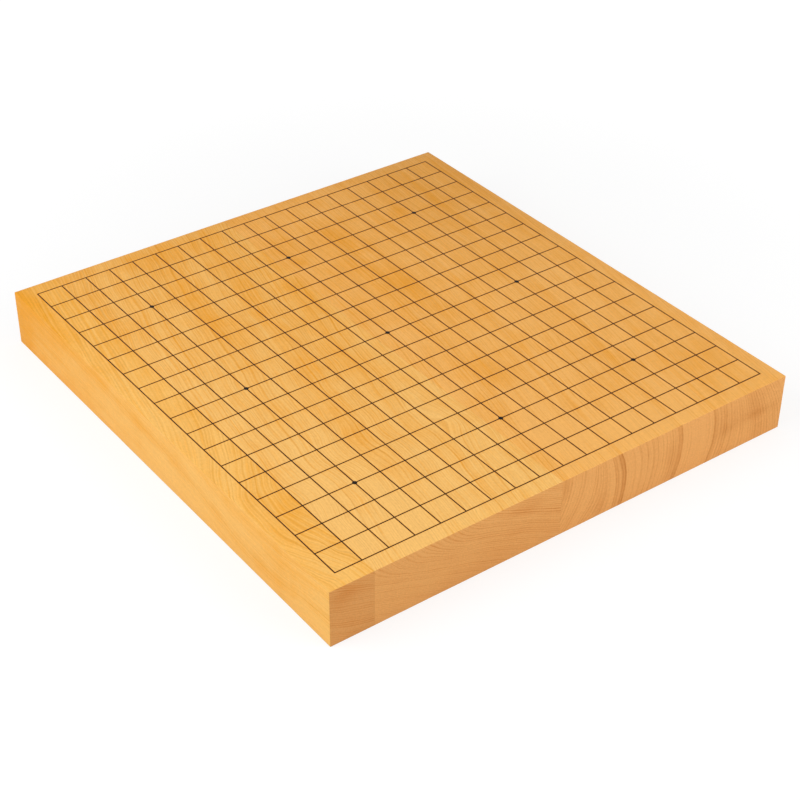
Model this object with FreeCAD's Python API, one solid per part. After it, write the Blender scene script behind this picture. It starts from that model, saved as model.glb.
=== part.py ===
import FreeCAD, Part
import os

# Table-top go board of edge-glued wooden staves, all lengths in millimetres.
# Origin: centre of the underside. +X across the board, +Y along the grain, +Z up.

# Board
WIDTH = 424.2
LENGTH = 454.5
THICKNESS = 48.5
EDGE_CHAMFER = 0.7

# Staves: where the glue joints lie, measured from the left edge of the board
GLUE_JOINTS = (36.3, 199.7)

# Playing grid
LINES = 19
PITCH_ACROSS = 22.0
PITCH_ALONG = 23.7
STAR_LINES = (3, 9, 15)

# Lacquer: the lengthwise lines are drawn first, the crosswise lines and the dots go over them
LINE_WIDTH = 0.9
LENGTHWISE_HEIGHT = 0.12
CROSSWISE_HEIGHT = 0.18
STAR_DIAMETER = 3.8
STAR_HEIGHT = 0.26

HALF_LINES = (LINES - 1) / 2
GRID_WIDTH = (LINES - 1) * PITCH_ACROSS + LINE_WIDTH
GRID_LENGTH = (LINES - 1) * PITCH_ALONG + LINE_WIDTH


def block(width, length, height, x, y, z):
    """A box centred on x, y with its underside at z."""
    corner = FreeCAD.Vector(x - width / 2, y - length / 2, z)
    return Part.makeBox(width, length, height, corner)


def line_x(index):
    """Where lengthwise line number index lies across the board."""
    return (index - HALF_LINES) * PITCH_ACROSS


def line_y(index):
    """Where crosswise line number index lies along the board."""
    return (index - HALF_LINES) * PITCH_ALONG


def staves():
    """The chamfered board, sawn into its staves at the glue joints."""
    whole = block(WIDTH, LENGTH, THICKNESS, 0, 0, 0)
    whole = whole.makeChamfer(EDGE_CHAMFER, whole.Edges)
    sides = (0,) + GLUE_JOINTS + (WIDTH,)
    pieces = []
    for left, right in zip(sides, sides[1:]):
        middle = (left + right) / 2 - WIDTH / 2
        pieces.append(whole.common(block(right - left, LENGTH, THICKNESS, middle, 0, 0)))
    return pieces


def lengthwise_line(index):
    """A full-length strip of lacquer along the grain."""
    return block(LINE_WIDTH, GRID_LENGTH, LENGTHWISE_HEIGHT, line_x(index), 0, THICKNESS)


def crosswise_line(index, lengthwise):
    """A strip across the grain that bridges every lengthwise line."""
    strip = block(GRID_WIDTH, LINE_WIDTH, CROSSWISE_HEIGHT, 0, line_y(index), THICKNESS)
    return strip.cut(lengthwise)


def star_point(column, row, lines):
    """A round dot of lacquer over a crossing, hollow where the lines run through it."""
    centre = FreeCAD.Vector(line_x(column), line_y(row), THICKNESS)
    dot = Part.makeCylinder(STAR_DIAMETER / 2, STAR_HEIGHT, centre)
    return dot.cut([lines["lengthwise"][column], lines["crosswise"][row]])


def build():
    """Every piece of the board by its name."""
    pieces = {}
    for number, stave in enumerate(staves(), 1):
        pieces[f"stave_{number}"] = stave

    lengthwise = [lengthwise_line(index) for index in range(LINES)]
    crosswise = [crosswise_line(index, lengthwise) for index in range(LINES)]
    for index in range(LINES):
        pieces[f"line_lengthwise_{index + 1:02d}"] = lengthwise[index]
        pieces[f"line_crosswise_{index + 1:02d}"] = crosswise[index]

    lines = {"lengthwise": lengthwise, "crosswise": crosswise}
    for column in STAR_LINES:
        for row in STAR_LINES:
            pieces[f"star_point_{column + 1:02d}_{row + 1:02d}"] = star_point(column, row, lines)
    return pieces


def main():
    os.makedirs("parts", exist_ok=True)
    for name, shape in build().items():
        if not shape.isValid():
            raise ValueError(f"{name} is not a valid solid")
        shape.exportStep(f"parts/{name}.step")
        print(name, len(shape.Solids), "solid,", round(shape.Volume, 2), "mm3")


main()
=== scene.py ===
import math

import bmesh
import bpy
from mathutils import Matrix, Vector, noise

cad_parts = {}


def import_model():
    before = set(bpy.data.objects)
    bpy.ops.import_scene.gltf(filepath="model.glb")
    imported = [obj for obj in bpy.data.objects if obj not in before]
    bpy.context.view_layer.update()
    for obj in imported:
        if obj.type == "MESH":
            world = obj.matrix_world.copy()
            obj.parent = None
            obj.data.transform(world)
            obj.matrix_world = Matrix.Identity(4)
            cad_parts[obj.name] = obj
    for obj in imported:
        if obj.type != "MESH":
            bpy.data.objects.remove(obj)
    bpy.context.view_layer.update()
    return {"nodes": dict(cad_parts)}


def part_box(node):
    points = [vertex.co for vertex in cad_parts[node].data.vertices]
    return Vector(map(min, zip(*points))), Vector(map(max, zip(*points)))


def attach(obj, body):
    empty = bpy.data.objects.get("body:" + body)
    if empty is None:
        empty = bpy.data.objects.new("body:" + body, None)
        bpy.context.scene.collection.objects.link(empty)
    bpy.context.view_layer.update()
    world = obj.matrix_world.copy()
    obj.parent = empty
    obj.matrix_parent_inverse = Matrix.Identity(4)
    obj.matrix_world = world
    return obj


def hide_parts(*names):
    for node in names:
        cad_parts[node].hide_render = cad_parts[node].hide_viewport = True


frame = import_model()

MM = 0.001

# Sizes that come with the frame
STAVES = ("stave_1", "stave_2", "stave_3")
STAVE_BOXES = {name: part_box(name) for name in STAVES}
BOARD_LOW = STAVE_BOXES["stave_1"][0]
BOARD_HIGH = STAVE_BOXES["stave_3"][1]
WIDTH, LENGTH, THICKNESS = BOARD_HIGH - BOARD_LOW
WIDTH_MM, LENGTH_MM, THICKNESS_MM = WIDTH / MM, LENGTH / MM, THICKNESS / MM

# Lines of the grid each way
GRID_LINES = 19

# Edges of the wood
EDGE_RADIUS = 0.7 * MM
EDGE_WEAR = 0.12 * MM
EDGE_SEGMENTS = 4
EDGE_REACH = 1.05 * EDGE_RADIUS
SAME_PLACE = 1e-6
CUT_LENGTH = 12 * MM

# Sharp edges are kept where the faces turn by more than this, in degrees
WOOD_CREASE = 50
LACQUER_CREASE = 60

# Relief of the surfaces and how much they shine
WOOD_RELIEF = 0.035 * MM
WOOD_SPECULAR = 0.10
LACQUER_RELIEF = 0.02 * MM
LACQUER_SPECULAR = 0.12

# Strokes of lacquer: section, distance between its copies, round ends and sideways sway
BEAD_PROFILE = ((-1.0, 0.0), (-0.86, 0.55), (-0.55, 0.90), (0.0, 1.0),
                (0.55, 0.90), (0.86, 0.55), (1.0, 0.0))
BEAD_STEP = 4.0 * MM
BEAD_END = 0.35 * MM
BEAD_TIP = ((0.0, 0.35), (0.4, 0.8))
BEAD_SWAY = 0.03 * MM

# Dots of lacquer: share of the radius and of the height, from the rim inwards
DOT_PROFILE = ((1.0, 0.0), (0.985, 0.35), (0.93, 0.62), (0.80, 0.84), (0.55, 0.95), (0.25, 0.99))
DOT_SIDES = 40
DOT_UNEVEN = 0.015

# Floor: greys as seen and as a reflector, glow near and far, and where the underside is let free
FLOOR_RADIUS = 6.0
FLOOR_SIDES = 96
FLOOR_GAP = 0.05 * MM
FLOOR_GREY_SEEN = 0.28
FLOOR_GREY_REFLECTING = 0.82
FLOOR_GLOW = 0.75
FLOOR_GLOW_RISE = 0.16
FLOOR_GLOW_FROM, FLOOR_GLOW_TO = 0.3, 1.0
UNDERSIDE_GAP = 2.0 * MM

# Light: strength of the white surroundings, then place, size and power of each lamp
WORLD_LIGHT = 0.52
LAMP_TARGET = Vector((0, 0, 0.02))
LAMPS = {
    "key": ((-1.0, 0.08, 0.85), 0.9, 7.9),
    "fill": ((0.55, -1.28, 0.67), 1.0, 9.2),
}

# Camera, fitted to the crossings of the grid and the corners of the board
CAMERA_AZIMUTH = -36.594
CAMERA_ELEVATION = 35.354
CAMERA_ROLL = 0.457
CAMERA_DISTANCE = 1.32963
CAMERA_TARGET = Vector((-0.04665, -0.07997, THICKNESS))
FOCAL_LENGTH_MM = 79.868
SENSOR_WIDTH_MM = 36.0


# Numbers and colours that vary over a surface

class Value:
    """One output of a node, with arithmetic."""

    def __init__(self, graph, socket):
        self.graph = graph
        self.socket = socket

    def __add__(self, other):
        return self.graph.math("ADD", self, other)

    def __sub__(self, other):
        return self.graph.math("SUBTRACT", self, other)

    def __rsub__(self, other):
        return self.graph.math("SUBTRACT", other, self)

    def __mul__(self, other):
        return self.graph.math("MULTIPLY", self, other)

    def __truediv__(self, other):
        return self.graph.math("DIVIDE", self, other)

    __radd__ = __add__
    __rmul__ = __mul__


class Graph:
    """The nodes of one material."""

    def __init__(self, name):
        self.material = bpy.data.materials.new(name)
        self.material.use_nodes = True
        self.tree = self.material.node_tree
        self.shader = self.tree.nodes["Principled BSDF"]
        self.output = self.tree.nodes["Material Output"]

    def node(self, kind, **settings):
        made = self.tree.nodes.new(kind)
        for key, value in settings.items():
            setattr(made, key, value)
        return made

    def put(self, value, socket):
        """Links a value to a socket, or writes a plain number or colour on it."""
        if isinstance(value, Value):
            self.tree.links.new(value.socket, socket)
        else:
            socket.default_value = value

    def math(self, operation, *values):
        made = self.node("ShaderNodeMath", operation=operation)
        for value, socket in zip(values, made.inputs):
            self.put(value, socket)
        return Value(self, made.outputs[0])

    def vector(self, x, y, z):
        made = self.node("ShaderNodeCombineXYZ")
        for value, socket in zip((x, y, z), made.inputs):
            self.put(value, socket)
        return Value(self, made.outputs[0])

    def position(self):
        """Millimetres from the front left bottom corner of the board, across, along and up."""
        place = self.node("ShaderNodeTexCoord").outputs["Object"]
        parts = self.node("ShaderNodeSeparateXYZ")
        self.tree.links.new(place, parts.inputs[0])
        return [(Value(self, parts.outputs[i]) - BOARD_LOW[i]) / MM for i in range(3)]

    def facing(self, axis):
        """How squarely the surface faces along an axis, 0 to 1."""
        normal = self.node("ShaderNodeTexCoord").outputs["Normal"]
        parts = self.node("ShaderNodeSeparateXYZ")
        self.tree.links.new(normal, parts.inputs[0])
        return self.math("ABSOLUTE", Value(self, parts.outputs[axis]))

    def noise_of(self, socket, value, detail, roughness, **settings):
        """Smooth noise from -1 to 1, from a value on one of its sockets."""
        made = self.node("ShaderNodeTexNoise", **settings)
        self.put(value, made.inputs[socket])
        made.inputs["Scale"].default_value = 1.0
        made.inputs["Detail"].default_value = detail
        made.inputs["Roughness"].default_value = roughness
        return (Value(self, made.outputs[0]) - 0.5) * 2.0

    def noise(self, x, y, z, detail=2.0, roughness=0.5):
        """Smooth noise whose lumps are about one unit of x, y, z across."""
        return self.noise_of("Vector", self.vector(x, y, z), detail, roughness)

    def noise_along(self, w, detail=1.0, roughness=0.5):
        """Smooth noise along one number."""
        return self.noise_of("W", w, detail, roughness, noise_dimensions="1D")

    def chance(self, w):
        """A random number from 0 to 1 for each whole number w."""
        made = self.node("ShaderNodeTexWhiteNoise", noise_dimensions="1D")
        self.put(w, made.inputs["W"])
        return Value(self, made.outputs["Value"])

    def step(self, value, low, high):
        """Rises smoothly from 0 at low to 1 at high."""
        made = self.node("ShaderNodeMapRange", interpolation_type="SMOOTHSTEP")
        for item, socket in zip((value, low, high, 0.0, 1.0), made.inputs):
            self.put(item, socket)
        return Value(self, made.outputs[0])

    def between(self, value, low, high, soft):
        """1 from low to high, falling smoothly to 0 outside them."""
        return self.step(value, low - soft, low) * (1.0 - self.step(value, high, high + soft))

    def curve(self, value, points):
        """A smooth curve through points of (input, output)."""
        low_in, high_in = points[0][0], points[-1][0]
        low_out = min(y for x, y in points)
        high_out = max(y for x, y in points)
        made = self.node("ShaderNodeFloatCurve")
        line = made.mapping.curves[0]
        for x, y in points[1:-1]:
            line.points.new(0.5, 0.5)
        for point, (x, y) in zip(line.points, points):
            point.location = ((x - low_in) / (high_in - low_in),
                              (y - low_out) / (high_out - low_out))
        made.mapping.update()
        self.put((value - low_in) / (high_in - low_in), made.inputs["Value"])
        return Value(self, made.outputs[0]) * (high_out - low_out) + low_out

    def bell(self, value, centre, width):
        """1 at centre, falling to almost nothing at two widths from it."""
        away = (value - centre) / width
        return self.math("EXPONENT", away * away * -1.0)

    def mix(self, share, a, b, blend="MIX"):
        made = self.node("ShaderNodeMix", data_type="RGBA", blend_type=blend)
        self.put(share, made.inputs[0])
        self.put(a, made.inputs[6])
        self.put(b, made.inputs[7])
        return Value(self, made.outputs[2])

    def grey(self, value):
        """A number as a colour, for multiplying."""
        made = self.node("ShaderNodeCombineColor")
        for socket in made.inputs:
            self.put(value, socket)
        return Value(self, made.outputs[0])

    def finish(self, colour, roughness, height, relief, specular):
        """Wires the shader. Relief is how deep a height of 1 is, in metres."""
        bump = self.node("ShaderNodeBump")
        bump.inputs["Strength"].default_value = 1.0
        bump.inputs["Distance"].default_value = relief
        self.put(height, bump.inputs["Height"])
        self.put(colour, self.shader.inputs["Base Color"])
        self.put(roughness, self.shader.inputs["Roughness"])
        self.tree.links.new(bump.outputs[0], self.shader.inputs["Normal"])
        self.shader.inputs["Specular IOR Level"].default_value = specular
        return self.material


def linear(red, green, blue):
    """A display colour of 0 to 255 as scene light."""
    def channel(value):
        value /= 255
        return value / 12.92 if value <= 0.04045 else ((value + 0.055) / 1.055) ** 2.4
    return (channel(red), channel(green), channel(blue), 1.0)


# Wood. Each stave has a ring coordinate q in millimetres: rings are where q is constant, and
# at the top front edge q is close to the distance from the board's left side. The grain drifts
# to the right by an amount given at distances from the front.

def rings_of_stave_1(graph, across, along, depth):
    """Nearly flat rings that fall to the right and swing back near the front corner."""
    drift = graph.curve(along, (
        (0, 0), (28, -7), (72, -23), (98, -23), (132, -11), (170, 8),
        (215, 25), (290, 41), (370, 56), (455, 71)))
    swirl = graph.noise(across / 26, along / 42, depth / 30, detail=1.0) * 9.0
    near_front = 1.0 - graph.step(along, 40.0, 130.0)
    swirl = swirl * (near_front * 0.8 + 0.25)
    return across - drift - depth * 2.7 + swirl


def rings_of_stave_2(graph, across, along, depth):
    """Rings that fall to the right, more steeply near the top at the left."""
    drift = graph.curve(along, (
        (0, 0), (50, 9), (92, 16), (120, 14), (150, 20), (192, 26),
        (240, 35), (335, 53), (455, 80)))
    wander = graph.noise(across / 45, along / 75, depth / 40, detail=2.0) * 6.0
    straight = across - drift + wander
    steep = graph.bell(depth, 0.0, 20.0) * (1.0 - graph.step(across, 105.0, 150.0))
    curl = graph.bell(across, 182.0, 12.0) * graph.bell(along, 115.0, 26.0) * 13.0
    return straight - depth * 2.35 + depth * steep * 1.5 - curl


def rings_of_stave_3(graph, across, along, depth):
    """Upright rings bowed to the right, each with its crest at its own depth."""
    drift = graph.curve(along, (
        (0, 0), (60, 12), (132, 28), (215, 45), (262, 52), (330, 58), (385, 62), (455, 68)))
    wander = graph.noise(across / 50, along / 90, depth / 60, detail=2.0)
    straight = across - drift + wander * graph.step(along, 0.0, 60.0) * 4.0
    crest = graph.curve(straight, (
        (130, 0), (203, 1), (216, 3), (230, 10), (242, 22), (253, 29), (262, 27),
        (290, 22), (316, 20), (353, 21), (375, 31), (395, 43), (424, 50)))
    below = depth - crest
    return straight + below * below / 130.0


def ring_lines(graph, q, spacing, start=0.10):
    """The dark late-summer line of each ring, 0 to 1, darkening from a share of the ring on."""
    uneven = q + graph.noise_along(q / (spacing * 3.0)) * spacing * 0.5
    count = uneven / spacing
    number = graph.math("FLOOR", count)
    phase = count - number
    line = graph.step(phase, start, 0.72) * (1.0 - graph.step(phase, 0.80, 1.0))
    return line * (graph.chance(number) * 0.8 + 0.2)


def edge_wear(graph, across, along, up):
    """1 on the rounded outer edges of the board, 0 on its faces."""
    gaps = []
    for place, size in ((across, WIDTH_MM), (along, LENGTH_MM), (up, THICKNESS_MM)):
        gaps.append(graph.math("MINIMUM", place, size - place))
    nearer = graph.math("MINIMUM", gaps[0], gaps[1])
    farther = graph.math("MAXIMUM", gaps[0], gaps[1])
    second = graph.math("MAXIMUM", nearer, graph.math("MINIMUM", farther, gaps[2]))
    return 1.0 - graph.step(second, 0.3, 1.5)


def middle_of(node, axis):
    """The middle of a piece along an axis, in millimetres from the board's corner."""
    low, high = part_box(node)
    return ((low[axis] + high[axis]) / 2 - BOARD_LOW[axis]) / MM


def stroke_soak(graph, across, along):
    """Where the lacquer strokes of the grid have tinted the wood beside them, 0 to 1."""
    first_x, last_x = middle_of("line_lengthwise_01", 0), middle_of("line_lengthwise_19", 0)
    first_y, last_y = middle_of("line_crosswise_01", 1), middle_of("line_crosswise_19", 1)
    strengths = []
    for place, first, last, other, low, high in (
            (across, first_x, last_x, along, first_y, last_y),
            (along, first_y, last_y, across, first_x, last_x)):
        pitch = (last - first) / (GRID_LINES - 1)
        away = graph.math("PINGPONG", place - first, pitch / 2)
        close = 1.0 - graph.step(away, 0.4, 1.05)
        inside = graph.between(place, first - 1.0, last + 1.0, 0.5)
        within = graph.between(other, low, high, 0.8)
        strengths.append(close * inside * within)
    return graph.math("MAXIMUM", *strengths)


class Grain:
    """The patterns of one stave that its long grain and its end grain share."""

    def __init__(self, graph, settings):
        self.graph = graph
        self.settings = settings
        self.across, self.along, self.up = graph.position()
        self.depth = THICKNESS_MM - self.up
        across, along, depth = self.across, self.along, self.depth
        self.end = graph.step(graph.facing(1), 0.5, 0.8)
        ripple = graph.noise(across / 9, along / 26, depth / 9, detail=2.0) * 0.7
        q = settings["rings"](graph, across, along, depth) + ripple

        self.strength = graph.noise(q / 7, along / 70, depth / 7, detail=1.0) * 0.7 + 0.7
        self.line = ring_lines(graph, q, settings["spacing"]) * self.strength
        self.thin_line = ring_lines(graph, q + THIN_LINE_SHIFT, settings["spacing"] * 0.60)
        self.crisp = ring_lines(graph, q + CRISP_LINE_SHIFT, settings["end_spacing"],
                                0.42) * self.strength
        self.zone = graph.curve(q, settings["zones"])
        self.broad = graph.noise_along(q / 14.0, detail=2.0, roughness=0.6)
        self.fibre = graph.noise(q / 0.9, along / 40.0, depth / 0.9, detail=3.0, roughness=0.65)
        self.streak = graph.noise(q / 2.6, along / 90.0, depth / 2.6, detail=2.0)
        self.cloud = graph.noise(across / 30, along / 40, depth / 30, detail=2.0)
        self.patch = graph.noise(across / 9, along / 13, depth / 9, detail=2.0)
        self.speck = graph.noise(across / 1.3, along / 2.8, depth / 1.3,
                                 detail=2.0, roughness=0.6)
        self.wear = edge_wear(graph, across, along, self.up)

    def add(self, base, weights):
        """Adds patterns to a value, each by its weight."""
        for pattern, weight in weights.items():
            base = base + getattr(self, pattern) * weight
        return base

    def add_spots(self, base, other, spots, gain):
        """Adds soft oval spots to a value, placed across the board and along another way."""
        for x, y, wide, long, amount in spots:
            spot = self.graph.bell(self.across, x, wide) * self.graph.bell(other, y, long)
            base = base + spot * amount * gain
        return base


def long_grain(grain):
    """Colour and shade of the top, the underside and the long sides."""
    graph, settings = grain.graph, grain.settings
    gold = grain.add(0.0, GOLD_WEIGHTS)
    # richer gold towards the back and paler towards the front: partly the wood's own colour along
    # its length, partly painted sheen on the front part
    gold = gold + graph.step(grain.along, 20.0, 460.0) * 0.36
    gold = gold - graph.step(grain.depth, 6.0, 30.0) * 0.10 - 0.09
    gold = grain.add_spots(gold, grain.along, settings["blotches"], BLOTCH_GAIN)
    fade = 1.0 - graph.step(grain.along, 90.0, 260.0) * settings["calm"]
    rich = grain.add(gold - 0.03 + grain.zone * fade * settings["bands"], RICH_WEIGHTS)
    colour = graph.mix(rich, linear(*settings["pale"]), linear(*settings["rich"]))
    # painted shade: the back right part of the board is darkened in its colour, as if less light
    # fell there
    painted_back_right_shade = graph.step(grain.along, 180.0, 460.0) * graph.step(grain.across, 250.0, 430.0)
    flat = graph.step(graph.facing(2), 0.5, 0.8)
    pores = grain.speck * (flat * 0.04 + 0.10)
    ring_shade = grain.line * (grain.zone * 0.05 + 0.02)
    shade = grain.add(1.02, SHADE_WEIGHTS) + pores - ring_shade - painted_back_right_shade * 0.10
    return colour, shade


def end_grain(grain):
    """Colour and shade of the front and the back."""
    graph, settings = grain.graph, grain.settings
    lined = grain.crisp * (grain.zone * 0.60 + 0.55 - settings["calm"] * 0.5)
    lined = lined + grain.thin_line * 0.22
    brown = (grain.zone - 0.3) * settings["contrast"] * 0.72 + lined * 0.75
    brown = grain.add(brown, BROWN_WEIGHTS)
    brown = grain.add_spots(brown, grain.depth, settings["stains"], STAIN_GAIN)
    colour = graph.mix(brown - 0.01, linear(*settings["end_pale"]), linear(*settings["end_brown"]))
    slanted = (grain.depth - grain.across * 0.12) / 0.9
    rays = graph.noise(grain.across / 14, grain.along, slanted, detail=2.0)
    shade = grain.add(1.02, END_SHADE_WEIGHTS) - rays * settings["hatch"]
    return colour, shade


def wood(name, settings, joints):
    """Waxed softwood cut from a log, with glued joints at distances from the left side."""
    graph = Graph(name)
    grain = Grain(graph, settings)
    side, side_shade = long_grain(grain)
    front, front_shade = end_grain(grain)

    glue = 0.0
    for joint in joints:
        glue = graph.bell(grain.across, joint, GLUE_WIDTH) * GLUE_SHADE + glue
    shade = grain.end * front_shade + (1.0 - grain.end) * side_shade - glue
    colour = graph.mix(1.0, graph.mix(grain.end, side, front), graph.grey(shade), "MULTIPLY")
    near_top = graph.step(grain.up, THICKNESS_MM - 0.3, THICKNESS_MM - 0.1)
    soak = stroke_soak(graph, grain.across, grain.along) * near_top
    colour = graph.mix(soak, colour, graph.mix(1.0, colour, SOAK_TINT, "MULTIPLY"))

    rough = grain.add(0.50 + grain.end * 0.10, ROUGHNESS_WEIGHTS)
    height = grain.add(0.0, HEIGHT_WEIGHTS)
    return graph.finish(colour, rough, height, WOOD_RELIEF, WOOD_SPECULAR)


# Shifts that keep the finer ring lines apart from the main ones
THIN_LINE_SHIFT = 500.0
CRISP_LINE_SHIFT = 900.0

# How much each pattern adds to a tone, a shade, the roughness and the relief
GOLD_WEIGHTS = {"cloud": 0.34, "patch": 0.22}
RICH_WEIGHTS = {"broad": 0.14, "streak": 0.38, "line": 0.47, "thin_line": 0.20, "fibre": 0.10}
SHADE_WEIGHTS = {"fibre": 0.17, "thin_line": -0.09, "wear": -0.02}
BROWN_WEIGHTS = {"broad": 0.08, "cloud": 0.12, "streak": 0.15}
END_SHADE_WEIGHTS = {"fibre": 0.18, "speck": 0.16}
ROUGHNESS_WEIGHTS = {"fibre": 0.06, "patch": 0.04, "line": -0.05, "wear": -0.08}
HEIGHT_WEIGHTS = {"fibre": 0.6, "speck": 0.5, "line": 0.5, "patch": 0.3}
BLOTCH_GAIN = 0.9
STAIN_GAIN = 0.6

# Glue in the joints, and the tint beside the strokes
GLUE_WIDTH = 0.2
GLUE_SHADE = 0.08
SOAK_TINT = (0.92, 0.70, 0.32, 1.0)

# Wood of each stave. The spacing of the rings is in millimetres. Bands and contrast say how much
# the zones colour the long grain and the end grain, calm how far they fade towards the back, and
# hatch how strong the rays are. Each zone is a ring coordinate and its tone.
# Each blotch: place across and from the front, half widths both ways, strength.
# Each stain on the end grain: place across and down, half widths, strength.
WOODS = {
    "stave_1": {
        "rings": rings_of_stave_1,
        "spacing": 4.4, "end_spacing": 5.2,
        "bands": 0.43, "contrast": 0.08, "calm": 0.0, "hatch": 0.01,
        "pale": (247, 190, 102), "rich": (240, 163, 44),
        "end_pale": (213, 152, 87), "end_brown": (188, 104, 20),
        "zones": (
            (-300, 0.3), (-200, 0.3), (-120, 0.2), (-88, 0.3), (-68, 0.9), (-52, 0.35),
            (-30, 0.2), (-10, 0.75), (6, 0.65), (18, 0.3), (36, 0.7), (60, 0.8), (80, 0.5)),
        "blotches": (
            (25, 85, 12, 30, 0.32), (0, 442, 5, 28, 0.50), (12, 170, 26, 90, -0.16),
            (14, 20, 20, 25, -0.12), (6, 380, 7, 40, 0.08), (26, 262, 18, 60, -0.22),
            (6, 245, 9, 90, -0.16), (6, 75, 8, 45, 0.22)),
        "stains": ((12, 9, 11, 7, 0.50),),
    },
    "stave_2": {
        "rings": rings_of_stave_2,
        "spacing": 3.3, "end_spacing": 4.3,
        "bands": 0.36, "contrast": 0.14, "calm": 0.0, "hatch": 0.02,
        "pale": (247, 192, 109), "rich": (239, 162, 52),
        "end_pale": (222, 161, 93), "end_brown": (190, 110, 38),
        "zones": (
            (-130, 0.35), (-60, 0.2), (-30, 0.3), (0, 0.2), (36, 0.15), (48, 0.3), (54, 0.6),
            (61, 0.5), (68, 0.2), (90, 0.25), (98, 0.8), (105, 0.6), (114, 0.4), (128, 0.3),
            (136, 0.8), (141, 0.45), (146, 0.8), (152, 0.35), (170, 0.4), (200, 0.3)),
        "blotches": (
            (112, 340, 14, 75, 0.30), (188, 315, 11, 45, 0.30), (52, 60, 16, 90, -0.26),
            (95, 30, 24, 34, -0.42), (112, 130, 12, 60, 0.20), (160, 380, 16, 40, 0.15),
            (130, 440, 45, 20, 0.28), (48, 375, 14, 70, 0.18), (150, 225, 42, 85, 0.18),
            (74, 4, 10, 16, -0.20)),
        "stains": ((165, 9, 18, 5, 0.25), (130, 40, 40, 14, 0.15), (165, 28, 25, 14, 0.15)),
    },
    "stave_3": {
        "rings": rings_of_stave_3,
        "spacing": 2.6, "end_spacing": 3.1,
        "bands": 0.46, "contrast": 0.66, "calm": 0.4, "hatch": 0.06,
        "pale": (246, 182, 98), "rich": (236, 157, 43),
        "end_pale": (225, 162, 93), "end_brown": (172, 98, 28),
        "zones": (
            (130, 0.3), (190, 0.3), (203, 0.6), (208, 0.35), (219, 0.2), (221.5, 0.5),
            (224, 0.2), (230, 0.2), (233, 0.45), (238, 0.35), (244, 0.35), (248, 0.0),
            (251.5, 0.2), (254, 0.65), (257, 0.35), (260.5, 1.0), (264, 0.15), (275, 0.15),
            (277, 0.5), (279, 0.2), (283, 0.35), (287, 0.15), (292, 0.4), (298, 0.15),
            (306, 0.4), (313.5, 0.45), (316.5, 0.95), (319, 0.1), (346, 0.1), (350, 0.3),
            (352.5, 0.75), (355, 0.35), (368, 0.35), (384, 0.2), (397, 0.55), (404, 0.4),
            (416, 0.35), (440, 0.3)),
        "blotches": (
            (267, 272, 10, 32, 0.60), (267, 372, 9, 24, 0.40), (332, 378, 11, 14, 0.35),
            (216, 356, 7, 9, 0.45), (240, 135, 16, 28, 0.30), (235, 45, 24, 50, -0.38),
            (374, 370, 7, 45, 0.40), (385, 45, 20, 30, 0.25), (335, 100, 12, 22, 0.25),
            (250, 285, 12, 40, 0.25), (280, 425, 50, 34, -0.24), (298, 300, 22, 50, -0.14),
            (280, 20, 48, 34, -0.24), (410, 370, 20, 30, 0.17), (345, 85, 38, 26, 0.18)),
        "stains": (
            (378, 18, 28, 20, 0.16), (396, 23, 18, 4, 0.35), (366, 25, 10, 6, 0.25),
            (238, 38, 7, 11, 0.22), (306, 28, 7, 14, 0.20), (205, 7, 5, 9, 0.25),
            (417, 25, 5, 22, 0.10)),
    },
}


# Meshes

def mesh_data(mesh, name):
    """Keeps a built mesh under a name."""
    data = bpy.data.meshes.new(name)
    mesh.to_mesh(data)
    mesh.free()
    return data


def join_rings(mesh, rings):
    """Bridges each ring of corners to the next with a band of faces."""
    for first, second in zip(rings, rings[1:]):
        for i in range(len(first)):
            j = (i + 1) % len(first)
            mesh.faces.new((first[i], first[j], second[j], second[i]))


def wear_mesh_edges(mesh):
    """Presses the outer edges in by a hair's breadth, unevenly, as handling does."""
    for vertex in mesh.vertices:
        place = vertex.co
        inward = Vector((0, 0, 0))
        near = 0
        for axis in range(3):
            gap_low = place[axis] - BOARD_LOW[axis]
            gap_high = BOARD_HIGH[axis] - place[axis]
            if min(gap_low, gap_high) < EDGE_REACH:
                near += 1
                inward[axis] = 1 if gap_low < gap_high else -1
        if near < 2:
            continue
        rough = noise.noise(place * 60) * 0.6 + noise.noise(place * 260) * 0.4
        vertex.co = place + inward * max(0.0, rough) * EDGE_WEAR


def stave_mesh(name):
    """A stave with its outer edges rounded and its glued edges square."""
    low, high = STAVE_BOXES[name]
    mesh = bmesh.new()
    bmesh.ops.create_cube(mesh, size=1)
    size = high - low
    for vertex in mesh.verts:
        vertex.co = Vector([low[i] + (vertex.co[i] + 0.5) * size[i] for i in range(3)])

    def outer_sides(edge):
        """On how many of the board's own faces the edge lies."""
        count = 0
        for axis in range(3):
            for limit in (BOARD_LOW[axis], BOARD_HIGH[axis]):
                count += all(abs(v.co[axis] - limit) < SAME_PLACE for v in edge.verts)
        return count

    outer = [edge for edge in mesh.edges if outer_sides(edge) == 2]
    bmesh.ops.bevel(mesh, geom=outer, offset=EDGE_RADIUS, offset_type="OFFSET",
                    segments=EDGE_SEGMENTS, profile=0.5, affect="EDGES", clamp_overlap=False)
    for axis in range(3):
        cuts = max(1, round(size[axis] / CUT_LENGTH))
        for number in range(1, cuts):
            place = Vector((0, 0, 0))
            place[axis] = low[axis] + size[axis] * number / cuts
            normal = Vector([float(i == axis) for i in range(3)])
            bmesh.ops.bisect_plane(mesh, geom=mesh.verts[:] + mesh.edges[:] + mesh.faces[:],
                                   plane_co=place, plane_no=normal)
    data = mesh_data(mesh, name + "_wood")
    wear_mesh_edges(data)
    return data


def add_piece(name, data, material, node):
    """Puts a mesh in the scene in place of a node of the frame."""
    piece = bpy.data.objects.new(name, data)
    bpy.context.scene.collection.objects.link(piece)
    data.materials.append(material)
    for polygon in data.polygons:
        polygon.use_smooth = True
    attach(piece, "root")
    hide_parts(node)
    return piece


def sharpen(piece, degrees):
    """Keeps edges crisp where the faces turn by more than this."""
    piece.data.set_sharp_from_angle(angle=math.radians(degrees))


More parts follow.
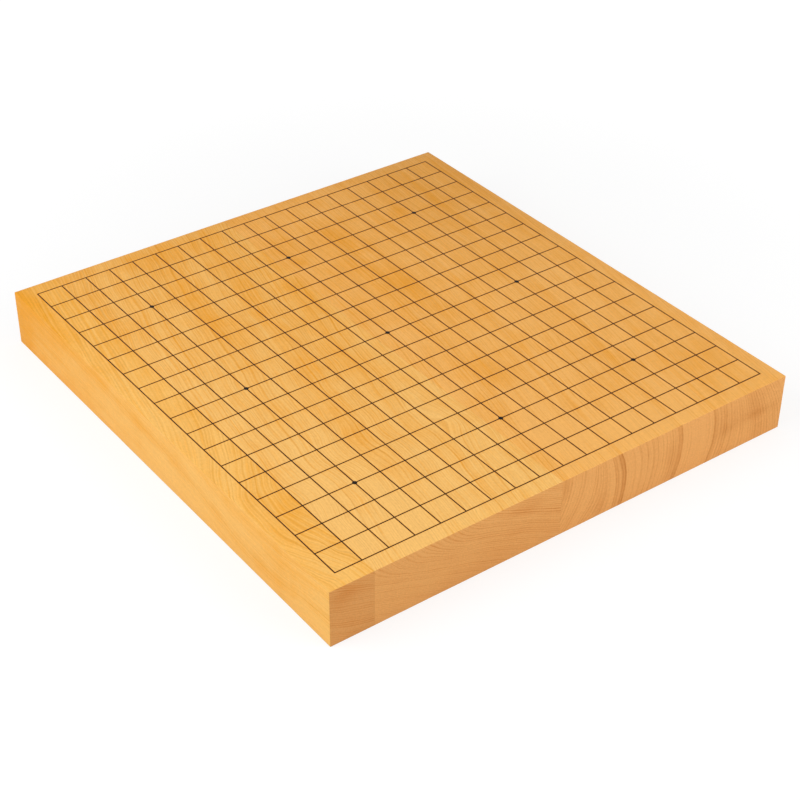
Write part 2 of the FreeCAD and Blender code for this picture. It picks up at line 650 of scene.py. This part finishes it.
def build_staves():
    joints = [(STAVE_BOXES[name][1].x - BOARD_LOW.x) / MM for name in STAVES[:-1]]
    beside = {"stave_1": joints[:1], "stave_2": joints, "stave_3": joints[1:]}
    for name in STAVES:
        material = wood("wood_of_" + name, WOODS[name], beside[name])
        piece = add_piece(name + "_board", stave_mesh(name), material, name)
        sharpen(piece, WOOD_CREASE)


# Lacquer

def lacquer():
    """Black-brown lacquer, thinner and browner at the edge of a stroke."""
    graph = Graph("lacquer")
    across, along, up = graph.position()
    blot = graph.noise(across / 3, along / 3, up, detail=3.0)
    fine = graph.noise(across / 0.35, along / 0.35, up / 0.35, detail=2.0)
    thin = 1.0 - graph.step(up, THICKNESS_MM, THICKNESS_MM + 0.06)
    amount = graph.math("MINIMUM", thin * 0.6 + graph.math("MAXIMUM", blot, 0.0) * 0.35, 1.0)
    colour = graph.mix(amount, linear(13, 8, 5), linear(56, 26, 6))
    rough = 0.52 + blot * 0.12 + fine * 0.06
    height = fine * 0.5 + blot * 0.5
    return graph.finish(colour, rough, height, LACQUER_RELIEF, LACQUER_SPECULAR)


def bead_mesh(name, node, axis):
    """A drawn stroke of lacquer along an axis: domed, slightly uneven, round at its ends."""
    low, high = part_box(node)
    other = 1 - axis
    middle = (low[other] + high[other]) / 2
    half_width = (high[other] - low[other]) / 2
    height = high.z - low.z
    length = high[axis] - low[axis]
    straight = length - 2 * BEAD_END
    steps = round(straight / BEAD_STEP)
    tip = [(BEAD_END * share, swell) for share, swell in BEAD_TIP]
    places = list(tip)
    places += [(BEAD_END + straight * i / steps, 1.0) for i in range(steps + 1)]
    places += [(length - distance, swell) for distance, swell in reversed(tip)]

    mesh = bmesh.new()
    rings = []
    for distance, swell in places:
        seed = Vector((distance * 40, middle * 900, axis * 50.0))
        wide = half_width * swell * (1 + 0.07 * noise.noise(seed))
        tall = height * swell * (0.94 + 0.06 * noise.noise(seed * 2.3))
        sway = BEAD_SWAY * noise.noise(seed * 0.7 + Vector((9, 0, 0)))
        ring = []
        for side, rise in BEAD_PROFILE:
            point = Vector((0, 0, low.z + rise * tall))
            point[axis] = low[axis] + distance
            point[other] = middle + sway + side * wide
            ring.append(mesh.verts.new(point))
        rings.append(ring)
    join_rings(mesh, rings)
    mesh.faces.new(rings[0])
    mesh.faces.new(reversed(rings[-1]))
    bmesh.ops.recalc_face_normals(mesh, faces=mesh.faces)
    return mesh_data(mesh, name)


def dot_mesh(name, node):
    """A round dot of lacquer with a shallow dome and a slightly uneven rim."""
    low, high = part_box(node)
    centre = (low + high) / 2
    radius = (high.x - low.x) / 2
    height = high.z - low.z
    mesh = bmesh.new()
    rings = []
    for share, rise in DOT_PROFILE:
        ring = []
        for i in range(DOT_SIDES):
            angle = 2 * math.pi * i / DOT_SIDES
            direction = Vector((math.cos(angle), math.sin(angle), 0))
            lump = noise.noise(direction * 1.5 + centre * 300)
            uneven = 1 - DOT_UNEVEN + DOT_UNEVEN * lump
            point = centre + direction * radius * share * uneven
            point.z = low.z + height * rise
            ring.append(mesh.verts.new(point))
        rings.append(ring)
    join_rings(mesh, rings)
    top = mesh.verts.new((centre.x, centre.y, high.z))
    for i in range(DOT_SIDES):
        mesh.faces.new((rings[-1][i], rings[-1][(i + 1) % DOT_SIDES], top))
    mesh.faces.new(reversed(rings[0]))
    bmesh.ops.recalc_face_normals(mesh, faces=mesh.faces)
    return mesh_data(mesh, name)


def build_lacquer():
    paint = lacquer()
    for node in sorted(frame["nodes"]):
        if node.startswith("line_lengthwise"):
            data = bead_mesh(node + "_bead", node, 1)
        elif node.startswith("line_crosswise"):
            data = bead_mesh(node + "_bead", node, 0)
        elif node.startswith("star_point"):
            data = dot_mesh(node + "_dot", node)
        else:
            continue
        piece = add_piece(data.name, data, paint, node)
        sharpen(piece, LACQUER_CREASE)


# Surroundings

def grey_shader(tree, kind, level, strength=None):
    """A shader of one grey, and of a strength where it gives light."""
    made = tree.nodes.new(kind)
    made.inputs["Color"].default_value = (level, level, level, 1)
    if strength is not None:
        made.inputs["Strength"].default_value = strength
    return made


def choose(tree, share, first, second):
    """The first shader where share is 0, the second where it is 1."""
    made = tree.nodes.new("ShaderNodeMixShader")
    for number, source in enumerate((share, first.outputs[0], second.outputs[0])):
        tree.links.new(source, made.inputs[number])
    return made


def either(tree, first, second):
    """1 where either of two sockets is 1."""
    made = tree.nodes.new("ShaderNodeMath")
    made.operation = "ADD"
    made.use_clamp = True
    tree.links.new(first, made.inputs[0])
    tree.links.new(second, made.inputs[1])
    return made.outputs[0]


def floor_material():
    """White with a soft shadow as the camera sees it, grey to light that comes back from it, and
    clear from below and to light that comes to the underside of the board."""
    graph = Graph("studio_floor")
    tree = graph.tree
    tree.nodes.remove(graph.shader)
    rays = graph.node("ShaderNodeLightPath")
    reflecting = grey_shader(tree, "ShaderNodeBsdfDiffuse", FLOOR_GREY_REFLECTING)
    shadowed = grey_shader(tree, "ShaderNodeBsdfDiffuse", FLOOR_GREY_SEEN)
    glow = grey_shader(tree, "ShaderNodeEmission", 1)
    spot = graph.node("ShaderNodeTexCoord")
    distance = graph.node("ShaderNodeVectorMath", operation="LENGTH")
    tree.links.new(spot.outputs["Object"], distance.inputs[0])
    far = graph.step(Value(graph, distance.outputs["Value"]), FLOOR_GLOW_FROM, FLOOR_GLOW_TO)
    graph.put(far * FLOOR_GLOW_RISE + FLOOR_GLOW, glow.inputs["Strength"])
    paler = graph.node("ShaderNodeAddShader")
    tree.links.new(glow.outputs[0], paler.inputs[0])
    tree.links.new(shadowed.outputs[0], paler.inputs[1])
    seen = choose(tree, rays.outputs["Is Camera Ray"], reflecting, paler)
    clear = graph.node("ShaderNodeBsdfTransparent")
    back = graph.node("ShaderNodeNewGeometry")
    close = graph.math("LESS_THAN", Value(graph, rays.outputs["Ray Length"]), UNDERSIDE_GAP)
    gone = graph.math("MAXIMUM", Value(graph, back.outputs["Backfacing"]), close)
    sided = choose(tree, gone.socket, seen, clear)
    tree.links.new(sided.outputs[0], graph.output.inputs[0])
    return graph.material


def floor():
    """The floor just under the board."""
    mesh = bmesh.new()
    bmesh.ops.create_circle(mesh, cap_ends=True, segments=FLOOR_SIDES, radius=FLOOR_RADIUS)
    data = mesh_data(mesh, "floor")
    data.materials.append(floor_material())
    piece = bpy.data.objects.new("floor", data)
    piece.location.z = -FLOOR_GAP
    bpy.context.scene.collection.objects.link(piece)


def world():
    """White all round, dimmer as a light than it looks."""
    made = bpy.data.worlds.new("studio")
    bpy.context.scene.world = made
    made.use_nodes = True
    tree = made.node_tree
    tree.nodes.clear()
    rays = tree.nodes.new("ShaderNodeLightPath").outputs
    seen = grey_shader(tree, "ShaderNodeBackground", 1, 1.0)
    light = grey_shader(tree, "ShaderNodeBackground", 1, WORLD_LIGHT)
    camera_or_gloss = either(tree, rays["Is Camera Ray"], rays["Is Glossy Ray"])
    looking = either(tree, camera_or_gloss, rays["Is Transmission Ray"])
    mix = choose(tree, looking, light, seen)
    output = tree.nodes.new("ShaderNodeOutputWorld")
    tree.links.new(mix.outputs[0], output.inputs[0])


def softbox(name, place, size, power):
    """A square lamp that faces the board."""
    data = bpy.data.lights.new(name, "AREA")
    data.shape = "SQUARE"
    data.size = size
    data.energy = power
    lamp = bpy.data.objects.new(name, data)
    lamp.location = place
    lamp.rotation_mode = "QUATERNION"
    lamp.rotation_quaternion = (LAMP_TARGET - Vector(place)).to_track_quat("-Z", "Y")
    bpy.context.scene.collection.objects.link(lamp)


def camera():
    """The photograph's point of view."""
    azimuth, elevation = math.radians(CAMERA_AZIMUTH), math.radians(CAMERA_ELEVATION)
    roll = math.radians(CAMERA_ROLL)
    back = Vector((math.sin(azimuth) * math.cos(elevation),
                   -math.cos(azimuth) * math.cos(elevation),
                   math.sin(elevation)))
    right = Vector((0, 0, 1)).cross(back).normalized()
    upward = back.cross(right)
    turned_right = right * math.cos(roll) + upward * math.sin(roll)
    turned_up = upward * math.cos(roll) - right * math.sin(roll)
    data = bpy.data.cameras.new("camera")
    data.lens = FOCAL_LENGTH_MM
    data.sensor_width = SENSOR_WIDTH_MM
    made = bpy.data.objects.new("camera", data)
    axes = Matrix((turned_right, turned_up, back)).transposed().to_4x4()
    made.matrix_world = Matrix.Translation(CAMERA_TARGET + back * CAMERA_DISTANCE) @ axes
    bpy.context.scene.collection.objects.link(made)
    bpy.context.scene.camera = made


build_staves()
build_lacquer()
floor()
world()
for lamp_name, (lamp_place, lamp_size, lamp_power) in LAMPS.items():
    softbox(lamp_name, lamp_place, lamp_size, lamp_power)
camera()

bpy.context.scene.view_settings.view_transform = "Standard"
